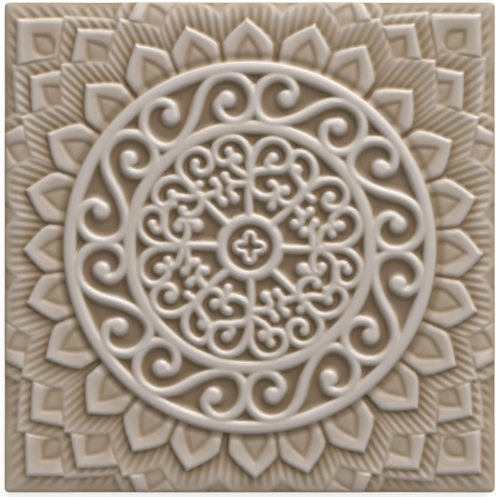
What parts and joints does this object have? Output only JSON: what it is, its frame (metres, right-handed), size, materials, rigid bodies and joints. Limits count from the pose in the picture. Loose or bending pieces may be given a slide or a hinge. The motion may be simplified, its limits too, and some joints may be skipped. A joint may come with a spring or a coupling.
{
  "type": "relief glazed tile",
  "caption": "Square glazed wall tile with a moulded mandala: quatrefoil, rosette of scrolls, band of running S scrolls and rows of lotus petals out to the edges.",
  "frame": {"origin": "middle of the tile's back face, where it lies on the floor", "axes": "+Z out of the relief face, +X and +Y along the tile's edges, with +Y up in the picture"},
  "size_m": [0.148, 0.148, 0.0091],
  "materials": {
    "glazed_relief": "glossy translucent warm grey glaze over moulded clay, thin and pale on the raised lines and pooled dark brown in the recesses"
  },
  "bodies": {
    "root": {"tile": "glazed_relief"}
  },
  "joints": []
}
